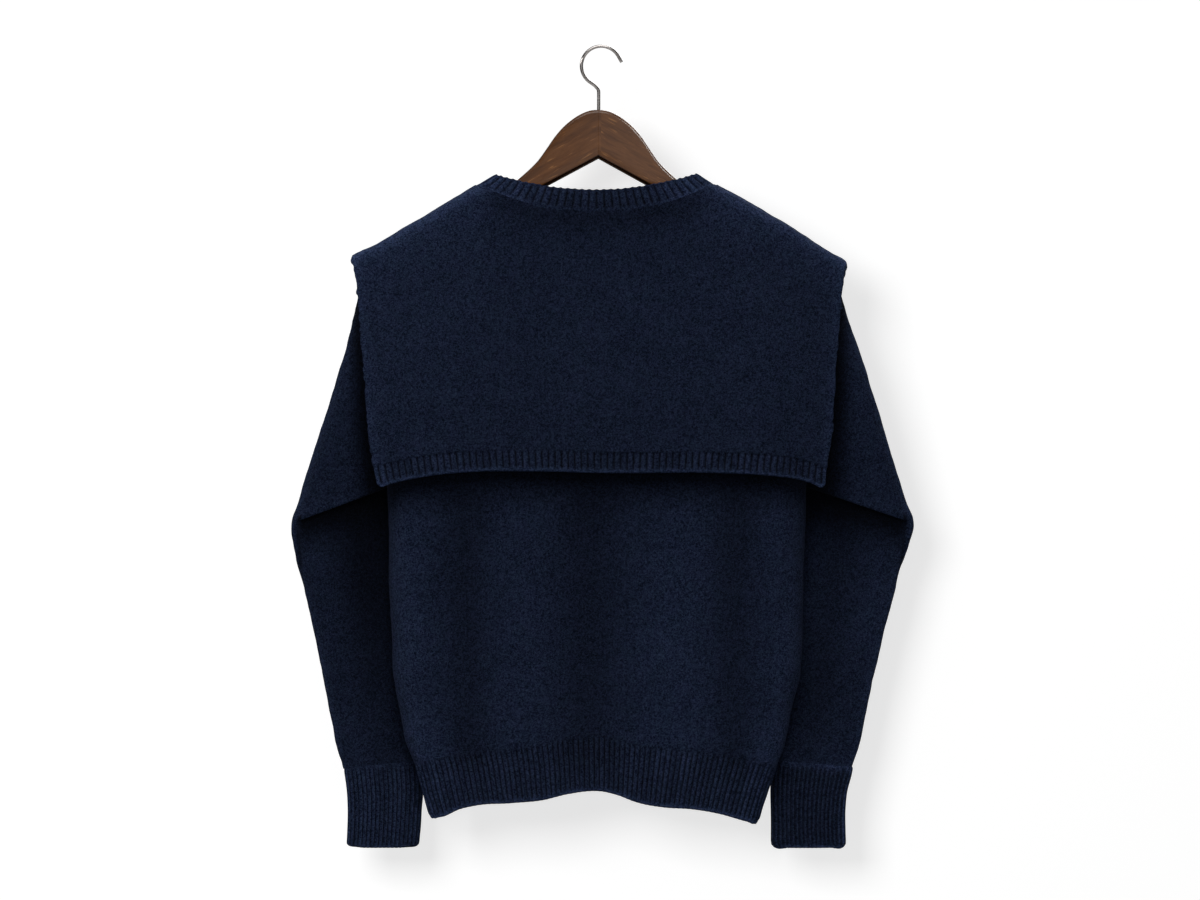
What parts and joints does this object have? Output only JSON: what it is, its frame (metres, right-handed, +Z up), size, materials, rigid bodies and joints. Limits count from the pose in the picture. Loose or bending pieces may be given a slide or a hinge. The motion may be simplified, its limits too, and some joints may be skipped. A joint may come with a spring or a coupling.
{
  "type": "scarf-neck sweater on a wooden hanger",
  "caption": "Knitted sweater with a wide scarf-like collar that falls over the back and shoulders, ribbed neck, hem and cuffs, hung on a wooden hanger with a metal hook.",
  "frame": {"origin": "inside top of the hook, where a rail carries it", "axes": "+Z up, +X to the right of someone who looks at the sweater's back, and the back faces -Y"},
  "size_m": [0.6541, 0.083, 0.8425],
  "materials": {
    "wool": "matt brushed navy plain knit",
    "wool_rib": "matt navy rib knit",
    "wood": "dark brown stain under a satin varnish",
    "chrome": "polished"
  },
  "bodies": {
    "root": {"back": "wool", "front": "wool", "hem_rib_back": "wool_rib", "hem_rib_front": "wool_rib", "neck_rib_back": "wool_rib", "neck_rib_front": "wool_rib", "scarf_back": "wool", "scarf_rib_back": "wool_rib", "scarf_end_left": "wool", "scarf_end_right": "wool", "scarf_rib_left": "wool_rib", "scarf_rib_right": "wool_rib", "sleeve_left": "wool", "sleeve_right": "wool", "cuff_rib_left": "wool_rib", "cuff_rib_right": "wool_rib", "hanger_arm_left": "wood", "hanger_arm_right": "wood", "hanger_hook": "chrome"}
  },
  "joints": []
}
